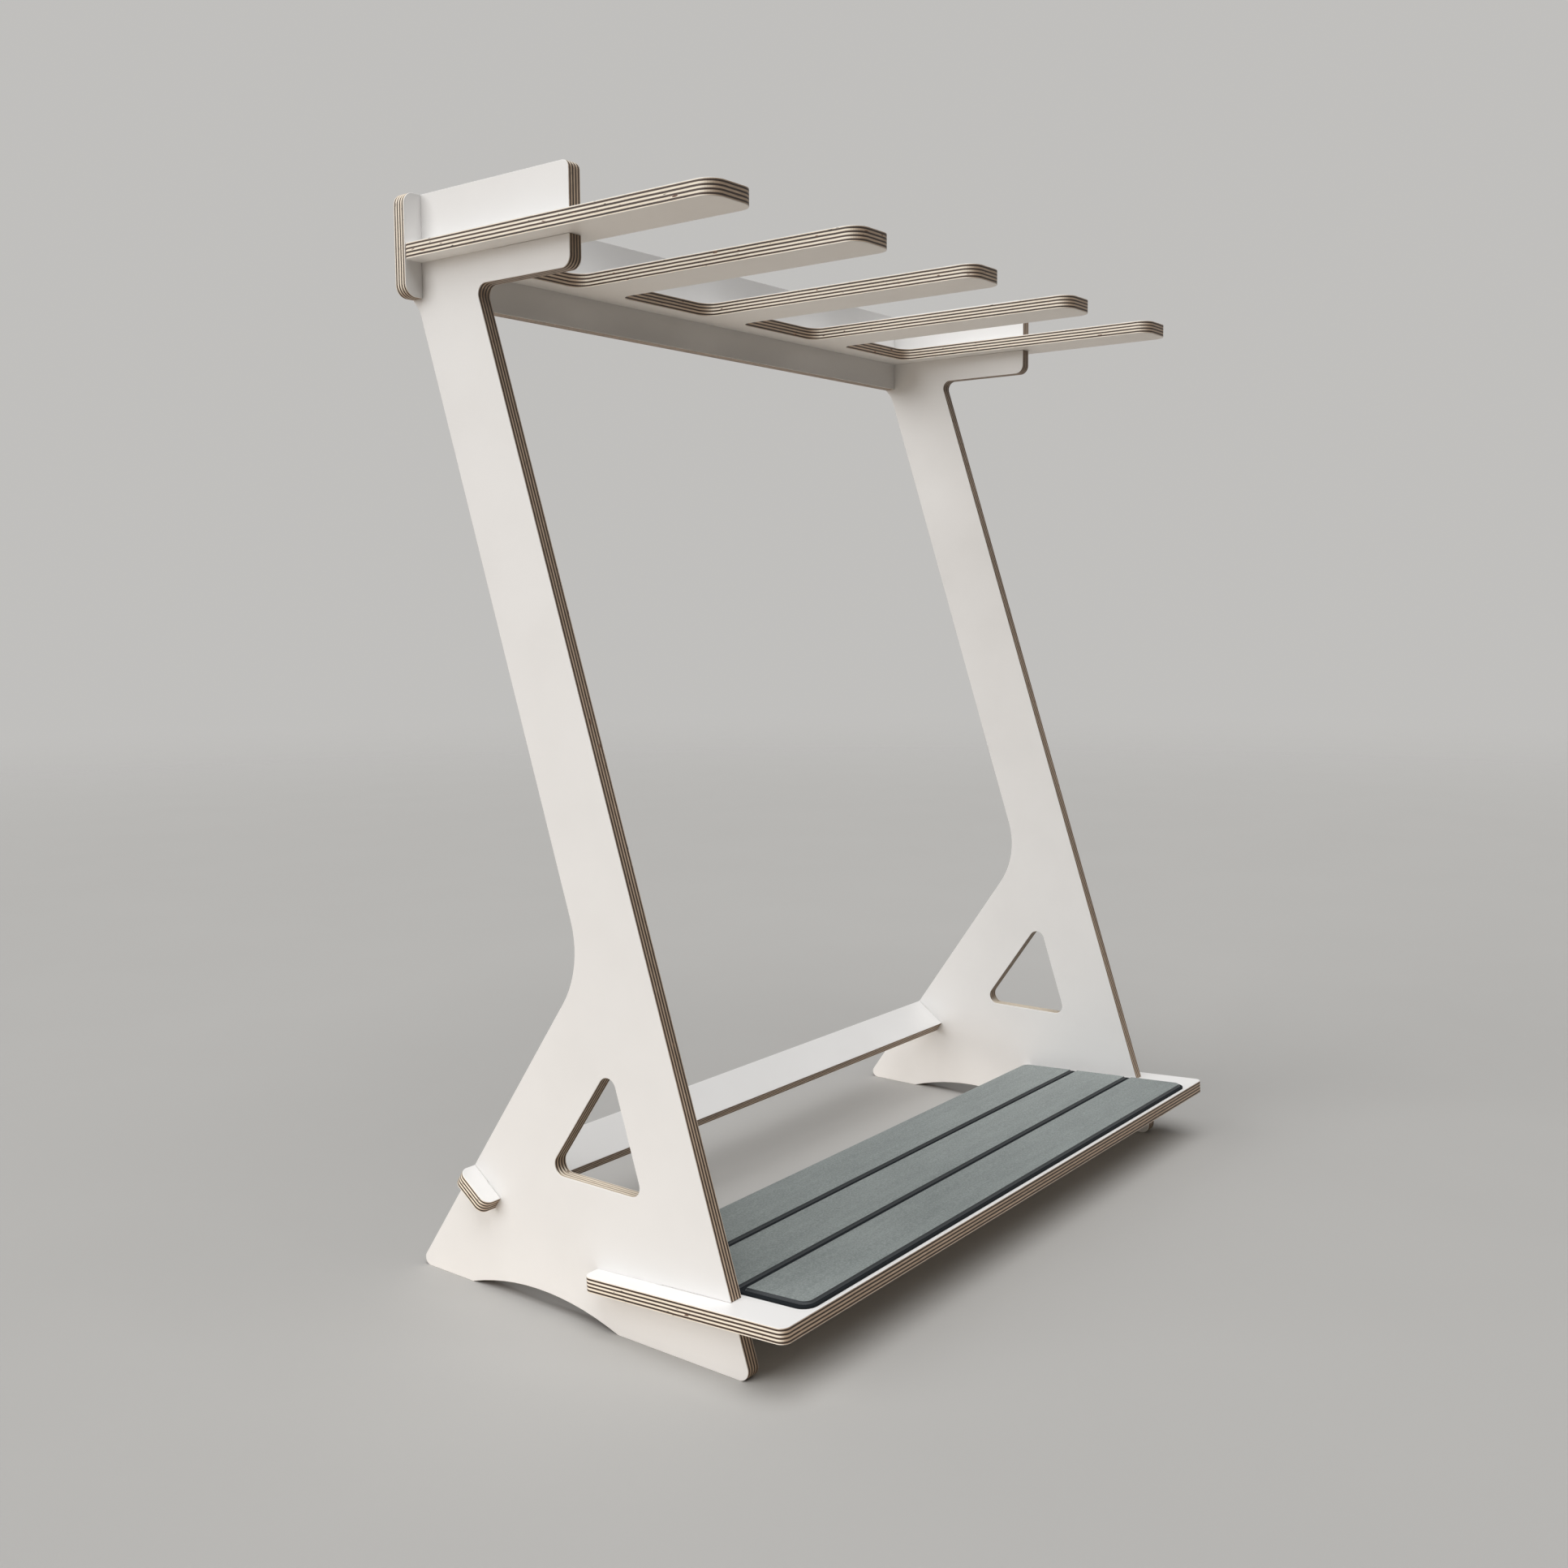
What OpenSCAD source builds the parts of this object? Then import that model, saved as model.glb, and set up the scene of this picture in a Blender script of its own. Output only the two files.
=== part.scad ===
// Surfboard rack, cut from faced plywood sheet and put together without fasteners.
// Two side panels carry a comb of fingers, an upper rail, a lower rail and a tilted shelf.
// Every crossing is a halving joint: each sheet is slotted to the middle of the crossing.
// X runs along the rack, Y from its front to its rear and Z up. Sizes are in millimetres.
// Side views are drawn with Y measured back from the toe of the side panels.

/* [Sheet] */
// Thickness of the plywood sheet
sheet_t = 16; // [10:0.5:19]
// Play on each side of a sheet that passes through a slot
slot_play = 0.2; // [0.1:0.05:0.4]

/* [Side panels] */
// Length of the rack over the outer faces of the side panels
span_w = 900; // [700:5:1200]
// Height of the rack
rack_h = 1154; // [1000:1:1300]
// Lean of the leg back from upright, in degrees
leg_lean = 18.2; // [14:0.1:21]
// Width of the leg, square to its edges
leg_w = 87; // [75:1:110]
// Length of the foot along the floor, from toe to heel
foot_l = 474; // [430:1:520]
// Slant of the heel forward from upright, in degrees
heel_slant = 35.2; // [31:0.1:40]
// Radius of the bend where the heel runs into the leg
waist_r = 98; // [30:1:120]
// Radius of the toe
toe_r = 11; // [3:0.5:16]
// Radius of the heel's corner on the floor
heel_r = 8; // [3:0.5:16]
// Height of the arm that carries the comb
arm_h = 100.5; // [90:0.5:130]
// Reach of the arm in front of the upper rail
arm_reach = 215; // [160:1:260]
// Radius of the arm's upper corner
arm_top_r = 8.5; // [2:0.5:20]
// Radius of the arm's lower corner
arm_low_r = 11.5; // [2:0.5:25]
// Radius of the hollow where the arm meets the leg
armpit_r = 10.5; // [4:0.5:40]

/* [Window and arch] */
// Width of sheet left between the triangular window and the panel's sloping edges
window_rim = 82.5; // [70:0.5:95]
// Height of the window's sill
window_sill = 148; // [135:1:160]
// Radius of the window's corners
window_r = 11.5; // [4:0.5:20]
// Distance from the toe to the arch between the two feet
arch_from_toe = 172; // [140:1:190]
// Length of the arch
arch_l = 216; // [160:1:230]
// Rise of the arch
arch_rise = 18; // [8:0.5:24]

/* [Finger comb] */
// Number of fingers: the outer two lie on the side panels
fingers = 5; // [3:1:6]
// Width of a finger
finger_w = 63; // [50:1:80]
// Reach of the fingers in front of the upper rail
finger_reach = 413; // [330:1:460]
// Depth of the strip that joins the fingers
comb_web = 32; // [20:1:60]
// Depth of the comb's upper face under the top of the rack
comb_below_top = 53; // [40:0.5:64]
// Radius of the corners at a finger's tip
tip_r = 18; // [5:0.5:24]
// Radius of the hollows between two fingers
hollow_r = 17.5; // [5:0.5:35]
// Radius of the comb's rear corners
comb_rear_r = 6; // [2:0.5:15]

/* [Rails] */
// Height of the upper rail
upper_rail_h = 105; // [90:1:130]
// Radius of the upper rail's corners
upper_rail_r = 13; // [3:0.5:25]
// Reach of both rails past the side panels
rail_overhang = 22; // [10:1:45]
// Step in the panel's rear edge that meets the back of the upper rail
rail_step = 6.5; // [1:0.5:8]
// Height of the flare that leads up to that step
flare_h = 12; // [6:1:20]
// Radius that blends the flare into the leg
flare_r = 26; // [5:1:30]
// Width of the lower rail
lower_rail_w = 49; // [36:1:60]
// Height at which the lower rail's upper face meets the heel
lower_rail_up = 132; // [90:1:150]
// Radius of the lower rail's corners
lower_rail_r = 10; // [3:0.5:16]

/* [Shelf] */
// Depth of the shelf
shelf_d = 255; // [220:1:300]
// Reach of the shelf in front of the legs
shelf_reach = 80; // [40:1:120]
// Height at which the shelf's upper face meets the front of the legs
shelf_up = 73.5; // [65:0.5:90]
// Rise of the shelf towards its front, in degrees
shelf_tilt = 3.5; // [0:0.1:7]
// Reach of the shelf past the side panels
shelf_overhang = 22; // [12:1:45]
// Radius of the shelf's corners
shelf_r = 9.5; // [4:0.5:30]

/* [Foam pad] */
// Thickness of the dark backing sheet
backing_t = 2.5; // [1:0.5:5]
// Thickness of the foam strips
strip_t = 3; // [2.5:0.5:10]
// Gap between the backing sheet and each side panel
backing_gap = 5; // [0.5:0.5:10]
// Shelf left bare in front of the backing sheet
pad_front_margin = 4.5; // [2:0.5:30]
// Shelf left bare behind the backing sheet
pad_rear_margin = 1.5; // [0.5:0.5:30]
// Backing left showing beside the strips
strip_side_margin = 4; // [1:0.5:15]
// Backing left showing in front of the strips and behind them
strip_end_margin = 3.5; // [1:0.5:15]
// Width of the groove between two strips, at its foot
groove_w = 7; // [2:0.2:12]
// Bevel on the upper edges of the strips
strip_bevel = 1.8; // [0.5:0.1:2]
// Radius of the backing's corners
backing_r = 15; // [3:0.5:30]
// Radius of the outer corners of the first and the last strip
strip_r = 11; // [3:0.5:30]
// Radius of the strips' corners beside a groove
groove_corner_r = 2.5; // [2.1:0.1:6]

/* [Hidden] */
$fn = 96;
hull_fn = 32;
// How far a cut runs past the sheet that it cuts
past = 2;
// A corner's circle is this much large, so that it crosses the corner's sides and doesn't graze them
arc_over = 0.01;
laminate = "whitesmoke";
foam = "#8a938e";
backing_dark = "#15171d";

// Places along the rack
panel_x = (span_w - sheet_t) / 2;
slot_w = sheet_t + 2 * slot_play;
rail_w = span_w + 2 * rail_overhang;
shelf_w = span_w + 2 * shelf_overhang;
finger_pitch = 2 * panel_x / (fingers - 1);
strip_count = 3;

// Edges of the side panel: Y at a height z, measured back from the toe
function leg_front(z) = z * tan(leg_lean);
function leg_rear(z) = leg_front(z) + leg_w / cos(leg_lean);
function heel(z) = foot_l - z * tan(heel_slant);

// Heights and places in the side view
waist_z = (foot_l - leg_w / cos(leg_lean)) / (tan(leg_lean) + tan(heel_slant));
rail_z = rack_h - upper_rail_h;
rail_mid_z = rack_h - upper_rail_h / 2;
rail_rear_y = leg_rear(rail_z) + rail_step;
rail_front_y = rail_rear_y - sheet_t;
arm_z = rack_h - arm_h;
arm_front_y = rail_front_y - arm_reach;
comb_z = rack_h - comb_below_top - sheet_t;
comb_mid_y = rail_front_y - arm_reach / 2;
finger_tip_y = rail_front_y - finger_reach;
shelf_front_y = leg_front(shelf_up);
shelf_rear_l = shelf_d - shelf_reach;
arch_r = (arch_l * arch_l / 4 + arch_rise * arch_rise) / (2 * arch_rise);

// The middle of the rack's depth lies between the shelf's lower front edge and the round of the heel
front_most_y = shelf_front_y - shelf_reach * cos(shelf_tilt) - sheet_t * sin(shelf_tilt);
rear_most_y = foot_l + heel_r - heel_r / tan((90 - heel_slant) / 2);
middle_y = (front_most_y + rear_most_y) / 2;

// The foam pad, in the shelf's own plane with y = 0 at the front of the legs
backing_w = span_w - 2 * sheet_t - 2 * backing_gap;
backing_front = pad_front_margin - shelf_reach;
backing_rear = shelf_rear_l - pad_rear_margin;
strip_w = backing_w - 2 * strip_side_margin;
strips_front = backing_front + strip_end_margin;
strips_rear = backing_rear - strip_end_margin;
strip_d = (strips_rear - strips_front - (strip_count - 1) * groove_w) / strip_count;

// Unit vector from one point to another
function way(from, to) = (to - from) / norm(to - from);

// Half the angle between the two sides that meet at a corner
function half_angle(before, corner, after) = acos(way(corner, before) * way(corner, after)) / 2;

// Where an arc of radius r, set into a corner, touches the side that leads to a neighbour
function touch(corner, neighbour, r, half) = corner + way(corner, neighbour) * r / tan(half);

// The centre of that arc
function arc_centre(before, corner, after, r, half) =
    corner + way([0, 0], way(corner, before) + way(corner, after)) * r / sin(half);

// What rounding takes off a corner that bulges: the corner past its arc
module corner_waste(before, corner, after, r) {
    half = half_angle(before, corner, after);
    centre = arc_centre(before, corner, after, r, half);
    start = touch(corner, before, r, half);
    end = touch(corner, after, r, half);
    difference() {
        polygon([
            start,
            start + way(centre, start) * past,
            corner + way(centre, corner) * past / sin(half),
            end + way(centre, end) * past,
            end,
        ]);
        translate(centre) circle(r + arc_over);
    }
}

// What rounding takes off a hollow corner that a straight line has filled: a sector of the arc's circle
module hollow_waste(before, corner, after, r) {
    half = half_angle(before, corner, after);
    centre = arc_centre(before, corner, after, r, half);
    start = touch(corner, before, r, half);
    end = touch(corner, after, r, half);
    intersection() {
        polygon([centre, 2 * start - centre, 2 * corner - centre, 2 * end - centre]);
        translate(centre) circle(r);
    }
}

// An outline of [x, y, radius] corners, listed anticlockwise, each rounded to its own radius
module rounded(outline) {
    count = len(outline);
    all = [0 : count - 1];
    corners = [for (point = outline) [point[0], point[1]]];
    radii = [for (point = outline) point[2]];
    before = [for (i = all) corners[(i + count - 1) % count]];
    after = [for (i = all) corners[(i + 1) % count]];
    bulges = [for (i = all) cross(corners[i] - before[i], after[i] - corners[i]) > 0];
    halves = [for (i = all) half_angle(before[i], corners[i], after[i])];
    filled = [
        for (i = all)
            for (point = bulges[i] ? [corners[i]] : [
                touch(corners[i], before[i], radii[i], halves[i]),
                touch(corners[i], after[i], radii[i], halves[i]),
            ])
                point
    ];
    difference() {
        polygon(filled);
        for (i = all)
            if (radii[i] > 0) {
                if (bulges[i]) corner_waste(before[i], corners[i], after[i], radii[i]);
                else hollow_waste(before[i], corners[i], after[i], radii[i]);
            }
    }
}

// A rectangle as an outline, with one radius for its two front corners and one for its rear corners
function box_outline(width, front, rear, front_r, rear_r) = [
    [-width / 2, front, front_r],
    [width / 2, front, front_r],
    [width / 2, rear, rear_r],
    [-width / 2, rear, rear_r],
];

// Moves a piece from the toe's place to the rack's origin, on the floor below its middle
module in_rack() {
    translate([0, -middle_y, 0]) children();
}

// The shelf's upper face: children lie on it with y = 0 at the front of the legs
module on_shelf() {
    in_rack() translate([0, shelf_front_y, shelf_up]) rotate([-shelf_tilt, 0, 0]) children();
}

// Two slots for the side panels, across a sheet drawn flat, from y = low to y = high
module panel_slots(low, high) {
    for (side = [-1, 1])
        translate([side * panel_x - slot_w / 2, low]) square([slot_w, high - low]);
}

// Side panel

side_outline = [
    [0, 0, toe_r],
    [foot_l, 0, heel_r],
    [heel(waist_z), waist_z, waist_r],
    [leg_rear(rail_z - flare_h), rail_z - flare_h, flare_r],
    [rail_rear_y, rail_z, 0],
    [rail_rear_y, rack_h, 0],
    [arm_front_y, rack_h, arm_top_r],
    [arm_front_y, arm_z, arm_low_r],
    [leg_front(arm_z), arm_z, armpit_r],
];

// The window's corners lie where its sill and two sides, parallel to the panel's edges, cross
rim_front = window_rim / cos(leg_lean);
rim_rear = window_rim / cos(heel_slant);
window_top = (foot_l - rim_front - rim_rear) / (tan(leg_lean) + tan(heel_slant));
window_outline = [
    [leg_front(window_sill) + rim_front, window_sill, window_r],
    [heel(window_sill) - rim_rear, window_sill, window_r],
    [leg_front(window_top) + rim_front, window_top, window_r],
];

module arch() {
    translate([arch_from_toe + arch_l / 2, arch_rise - arch_r]) circle(arch_r, $fn = 2 * $fn);
}

// The comb slides in from the front of the arm
module comb_slot() {
    translate([arm_front_y - past, comb_z - slot_play])
        square([comb_mid_y - arm_front_y + past, slot_w]);
}

// The shelf slides in from the front of the leg
module shelf_slot() {
    translate([shelf_front_y, shelf_up])
        rotate(-shelf_tilt)
            translate([-shelf_reach, -sheet_t - slot_play])
                square([shelf_reach + shelf_rear_l / 2, slot_w]);
}

// The lower rail slides in from the heel
module lower_rail_slot() {
    translate([heel(lower_rail_up), lower_rail_up])
        rotate(heel_slant)
            translate([-lower_rail_w / 2, -sheet_t - slot_play])
                square([lower_rail_w / 2 + past, slot_w]);
}

// The upper rail drops in from above, over the panel's rear edge
module upper_rail_notch() {
    translate([rail_front_y, rail_mid_z])
        square([sheet_t + past, upper_rail_h / 2 + past]);
}

module side_panel() {
    color(laminate)
        in_rack()
            rotate([90, 0, 90])
                linear_extrude(sheet_t)
                    difference() {
                        rounded(side_outline);
                        rounded(window_outline);
                        arch();
                        comb_slot();
                        shelf_slot();
                        lower_rail_slot();
                        upper_rail_notch();
                    }
}

module side_panel_left() {
    translate([-span_w / 2, 0, 0]) side_panel();
}

module side_panel_right() {
    translate([span_w / 2 - sheet_t, 0, 0]) side_panel();
}

// Finger comb

function finger_x(i) = -panel_x + i * finger_pitch;

// The corners of finger i, and of the hollow after it
function finger_corners(i) = concat(
    [
        [finger_x(i) - finger_w / 2, finger_tip_y, tip_r],
        [finger_x(i) + finger_w / 2, finger_tip_y, tip_r],
    ],
    i == fingers - 1 ? [] : [
        [finger_x(i) + finger_w / 2, rail_front_y - comb_web, hollow_r],
        [finger_x(i + 1) - finger_w / 2, rail_front_y - comb_web, hollow_r],
    ]
);

comb_outline = concat(
    [for (i = [0 : fingers - 1]) for (corner = finger_corners(i)) corner],
    [
        [panel_x + finger_w / 2, rail_front_y, comb_rear_r],
        [-panel_x - finger_w / 2, rail_front_y, comb_rear_r],
    ]
);

module finger_comb() {
    color(laminate)
        in_rack()
            translate([0, 0, comb_z])
                linear_extrude(sheet_t)
                    difference() {
                        rounded(comb_outline);
                        panel_slots(comb_mid_y, rail_front_y + past);
                    }
}

// Rails

module upper_rail() {
    color(laminate)
        in_rack()
            translate([0, rail_rear_y, 0])
                rotate([90, 0, 0])
                    linear_extrude(sheet_t)
                        difference() {
                            rounded(box_outline(rail_w, rail_z, rack_h, upper_rail_r, upper_rail_r));
                            panel_slots(rail_z - past, rail_mid_z);
                        }
}

// The lower rail lies square to the heel, flush with it
module lower_rail() {
    color(laminate)
        in_rack()
            translate([0, heel(lower_rail_up), lower_rail_up])
                rotate([heel_slant, 0, 0])
                    translate([0, 0, -sheet_t])
                        linear_extrude(sheet_t)
                            difference() {
                                rounded(box_outline(rail_w, -lower_rail_w, 0, lower_rail_r, lower_rail_r));
                                panel_slots(-lower_rail_w - past, -lower_rail_w / 2);
                            }
}

// Shelf and its foam pad

module base_shelf() {
    color(laminate)
        on_shelf()
            translate([0, 0, -sheet_t])
                linear_extrude(sheet_t)
                    difference() {
                        rounded(box_outline(shelf_w, -shelf_reach, shelf_rear_l, shelf_r, shelf_r));
                        panel_slots(shelf_rear_l / 2, shelf_rear_l + past);
                    }
}

module pad_backing() {
    color(backing_dark)
        on_shelf()
            linear_extrude(backing_t)
                rounded(box_outline(backing_w, backing_front, backing_rear, backing_r, backing_r));
}

// One layer of foam strip i, counted from the front, drawn in by inset all round
module strip_layer(i, inset, height) {
    front = strips_front + i * (strip_d + groove_w);
    front_r = i == 0 ? strip_r : groove_corner_r;
    rear_r = i == strip_count - 1 ? strip_r : groove_corner_r;
    linear_extrude(height)
        rounded(box_outline(strip_w - 2 * inset, front + inset, front + strip_d - inset,
                            front_r - inset, rear_r - inset), $fn = hull_fn);
}

// A foam strip with its upper edges bevelled
module pad_strip(i) {
    color(foam)
        on_shelf()
            translate([0, 0, backing_t])
                hull() {
                    strip_layer(i, 0, strip_t - strip_bevel);
                    strip_layer(i, strip_bevel, strip_t);
                }
}

module pad_strip_front() {
    pad_strip(0);
}

module pad_strip_middle() {
    pad_strip(1);
}

module pad_strip_rear() {
    pad_strip(2);
}

side_panel_left();
side_panel_right();
finger_comb();
upper_rail();
lower_rail();
base_shelf();
pad_backing();
pad_strip_rear();
pad_strip_middle();
pad_strip_front();
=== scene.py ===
# %% [markdown]
# # A rack for surfboards, slotted together from faced plywood
#
# Two Z-shaped side panels carry a comb of fingers, two rails and a tilted shelf. Every part is cut
# from one kind of sheet: plywood with a white laminate on both faces, whose bare edges show brown
# and cream plies. Boards stand on a foam pad on the shelf and lean between the fingers.
#
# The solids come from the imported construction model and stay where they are. This lesson gives the
# sheets their finish and eased edges, makes the foam pad anew, and sets up camera and light.

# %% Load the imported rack
import math

import bmesh
import bpy
import numpy as np
from mathutils import Matrix, Vector


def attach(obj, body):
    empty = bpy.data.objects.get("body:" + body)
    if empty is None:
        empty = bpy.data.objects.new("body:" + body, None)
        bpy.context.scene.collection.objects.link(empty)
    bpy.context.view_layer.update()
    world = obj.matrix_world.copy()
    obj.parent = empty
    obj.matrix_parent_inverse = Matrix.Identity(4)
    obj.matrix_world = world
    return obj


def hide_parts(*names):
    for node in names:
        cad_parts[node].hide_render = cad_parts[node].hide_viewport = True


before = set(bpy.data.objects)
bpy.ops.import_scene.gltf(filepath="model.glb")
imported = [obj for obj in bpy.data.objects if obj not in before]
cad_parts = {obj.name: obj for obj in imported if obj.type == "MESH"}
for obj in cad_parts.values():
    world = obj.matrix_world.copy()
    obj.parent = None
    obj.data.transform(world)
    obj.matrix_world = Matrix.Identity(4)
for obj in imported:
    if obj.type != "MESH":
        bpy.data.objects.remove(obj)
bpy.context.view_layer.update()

MM = 0.001
ROOT = "root"
scene = bpy.context.scene
print("nodes:", sorted(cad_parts))

# %% [markdown]
# ## Camera
#
# The view was worked out from straight edges of the rack in the photograph: where the lens stood,
# which way it looked and how long it was. The frame is square. A small shift stands for the fact
# that the lens axis didn't meet the frame exactly in its middle.
#
# A camera looks along its own -Z, with X to its right. So its matrix has three columns: right, up
# and backwards. They follow from a heading, a pitch and a roll.

# %% Camera
FRAME_PX = 1932
SENSOR_MM = 36
FOCAL_PX = 1943.1
AXIS_PX = (976.1, 938.3)
CAMERA_PLACE = Vector((-1.5533, -1.0978, 0.7256))
HEADING = math.radians(52.690)
PITCH = math.radians(-5.512)
ROLL = math.radians(-0.320)
FARTHEST_SEEN = 100


def camera_axes(heading, pitch, roll):
    """Right, up and backwards.

    The heading turns from +Y towards +X, the pitch lifts the view above the horizon, and the roll
    lifts the right side.
    """
    forward = Vector((
        math.sin(heading) * math.cos(pitch),
        math.cos(heading) * math.cos(pitch),
        math.sin(pitch),
    ))
    level_right = Vector((math.cos(heading), -math.sin(heading), 0))
    level_up = level_right.cross(forward)
    right = level_right * math.cos(roll) + level_up * math.sin(roll)
    return right, right.cross(forward), -forward


def make_camera():
    """A camera at the photograph's place, with its lens and shift."""
    data = bpy.data.cameras.new("camera")
    data.sensor_width = SENSOR_MM
    data.lens = FOCAL_PX / FRAME_PX * SENSOR_MM
    data.shift_x = (FRAME_PX / 2 - AXIS_PX[0]) / FRAME_PX
    data.shift_y = (AXIS_PX[1] - FRAME_PX / 2) / FRAME_PX
    data.clip_end = FARTHEST_SEEN
    camera = bpy.data.objects.new("camera", data)
    turned = Matrix(camera_axes(HEADING, PITCH, ROLL)).transposed().to_4x4()
    camera.matrix_world = Matrix.Translation(CAMERA_PLACE) @ turned
    scene.collection.objects.link(camera)
    scene.camera = camera
    return camera


camera = make_camera()
print("lens: %.2f mm" % camera.data.lens)

# %% [markdown]
# ## Light
#
# The shading in the photograph tells where its light comes from. Faces that look left or up are
# bright, so there is a window on the left. The upper rail is bright above the comb and dark below
# it, so there is a high light a little to the front, which the comb shades. Two suns with very wide
# discs do that. Their shadows are soft, and they light a wide floor evenly. A dim world does the
# rest.
#
# The strengths are set so that the white laminate comes out about as bright as in the photograph.

# %% Lamps
WINDOW_FROM = (-0.82, 0.40, 0.42)
WINDOW_STRENGTH = 1.60
WINDOW_DISC = math.radians(48)
CEILING_FROM = (-0.24, -0.26, 0.93)
CEILING_STRENGTH = 2.75
CEILING_DISC = math.radians(56)


def soft_sun(name, comes_from, strength, width):
    """A distant lamp whose disc is so wide that its shadows are soft."""
    data = bpy.data.lights.new(name, "SUN")
    data.energy = strength
    data.angle = width
    lamp = bpy.data.objects.new(name, data)
    lamp.matrix_world = (-Vector(comes_from)).to_track_quat("-Z", "Y").to_matrix().to_4x4()
    scene.collection.objects.link(lamp)
    return lamp


lamps = [
    soft_sun("window_light", WINDOW_FROM, WINDOW_STRENGTH, WINDOW_DISC),
    soft_sun("ceiling_light", CEILING_FROM, CEILING_STRENGTH, CEILING_DISC),
]
for lamp in lamps:
    disc_degrees = math.degrees(lamp.data.angle)
    print(lamp.name, "strength %.2f" % lamp.data.energy, "disc %.0f degrees" % disc_degrees)

# %% [markdown]
# The world has two tasks. For diffuse rays it is a dim grey sky that softens the shade. For rays
# from the camera, and for reflections, it is the pale backdrop itself at full strength. The Light
# Path node tells the two apart, so a pale background costs no extra light on the rack.

# %% World
BACKDROP = (0.530, 0.522, 0.508, 1)
WORLD_LIGHT = 0.06


def shows_backdrop(tree):
    """A socket that is 1 for rays from the camera, reflections and rays through glass."""
    path = tree.nodes.new("ShaderNodeLightPath")
    total = path.outputs["Is Camera Ray"]
    for name in ("Is Glossy Ray", "Is Transmission Ray"):
        either = tree.nodes.new("ShaderNodeMath")
        either.operation = "MAXIMUM"
        tree.links.new(total, either.inputs[0])
        tree.links.new(path.outputs[name], either.inputs[1])
        total = either.outputs[0]
    return total


def make_world():
    """A dim sky for diffuse rays and a pale backdrop for all others."""
    world = bpy.data.worlds.new("studio")
    world.use_nodes = True
    scene.world = world
    tree = world.node_tree
    sky = tree.nodes["Background"]
    sky.inputs["Color"].default_value = (1, 1, 1, 1)
    sky.inputs["Strength"].default_value = WORLD_LIGHT
    backdrop = tree.nodes.new("ShaderNodeBackground")
    backdrop.inputs["Color"].default_value = BACKDROP
    backdrop.inputs["Strength"].default_value = 1
    mix = tree.nodes.new("ShaderNodeMixShader")
    tree.links.new(shows_backdrop(tree), mix.inputs["Fac"])
    tree.links.new(sky.outputs[0], mix.inputs[1])
    tree.links.new(backdrop.outputs[0], mix.inputs[2])
    tree.links.new(mix.outputs[0], tree.nodes["World Output"].inputs["Surface"])


make_world()
scene.view_settings.view_transform = "Standard"
print("sky strength", WORLD_LIGHT, "backdrop colour", BACKDROP[:3])

# %% [markdown]
# ## Small helpers for node materials
#
# A procedural material is a chain of nodes, and most links in it are arithmetic. Short helpers keep
# such chains readable. Apart from the first two, they take sockets or plain numbers and return the
# socket of their result, so one call can stand inside another, as in a formula.

# %% Helpers for arithmetic and colours
def add_node(tree, kind, **settings):
    """A new node with its settings."""
    node = tree.nodes.new(kind)
    for name, value in settings.items():
        setattr(node, name, value)
    return node


def feed(tree, value, socket):
    """Links a socket to an input, or writes a plain value into it."""
    if isinstance(value, bpy.types.NodeSocket):
        tree.links.new(value, socket)
    else:
        socket.default_value = value


def calculate(tree, operation, *values):
    """Arithmetic on sockets and numbers."""
    node = add_node(tree, "ShaderNodeMath", operation=operation)
    for value, socket in zip(values, node.inputs):
        feed(tree, value, socket)
    return node.outputs[0]


def mix_values(tree, mask, first, second):
    """The first value where the mask is 0, the second where it is 1, and their mix in between."""
    node = add_node(tree, "ShaderNodeMix", data_type="FLOAT")
    feed(tree, mask, node.inputs["Factor"])
    feed(tree, first, node.inputs[2])
    feed(tree, second, node.inputs[3])
    return node.outputs[0]


def blend(tree, mask, first, second):
    """The first colour where the mask is 0, the second where it is 1, and their mix in between."""
    node = add_node(tree, "ShaderNodeMix", data_type="RGBA")
    feed(tree, mask, node.inputs["Factor"])
    feed(tree, first, node.inputs[6])
    feed(tree, second, node.inputs[7])
    return node.outputs[2]


def smooth_step(tree, value, low, high):
    """0 below low, 1 above high and a smooth rise between them."""
    node = add_node(tree, "ShaderNodeMapRange", interpolation_type="SMOOTHSTEP")
    feed(tree, value, node.inputs["Value"])
    node.inputs["From Min"].default_value = low
    node.inputs["From Max"].default_value = high
    return node.outputs["Result"]


def span(tree, value, low, high):
    """Spreads a value from 0..1 over low..high."""
    node = add_node(tree, "ShaderNodeMapRange")
    feed(tree, value, node.inputs["Value"])
    node.inputs["To Min"].default_value = low
    node.inputs["To Max"].default_value = high
    return node.outputs["Result"]


# %% [markdown]
# Fibres, streaks and clouds all come from one kind of noise. Its cells are round, until the
# coordinates are stretched more in one direction than in another and the cells turn into fibres.
# The same noise can also be a height: a Bump node turns it into slopes that the light picks up,
# without a single new face.

# %% Helpers for coordinates, noise and bumps
def object_place(tree):
    """The piece's own coordinates, in metres."""
    return add_node(tree, "ShaderNodeTexCoord").outputs["Object"]


def split(tree, coordinates):
    """The outputs X, Y and Z of coordinates."""
    node = add_node(tree, "ShaderNodeSeparateXYZ")
    tree.links.new(coordinates, node.inputs[0])
    return node.outputs


def noise(tree, coordinates, cells, detail, roughness=0.5):
    """Noise from 0 to 1, with this many cells to the metre in each direction."""
    stretch = add_node(tree, "ShaderNodeMapping")
    tree.links.new(coordinates, stretch.inputs["Vector"])
    stretch.inputs["Scale"].default_value = cells
    node = add_node(tree, "ShaderNodeTexNoise")
    node.inputs["Scale"].default_value = 1
    node.inputs["Detail"].default_value = detail
    node.inputs["Roughness"].default_value = roughness
    tree.links.new(stretch.outputs[0], node.inputs["Vector"])
    return node.outputs["Fac"]


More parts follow.
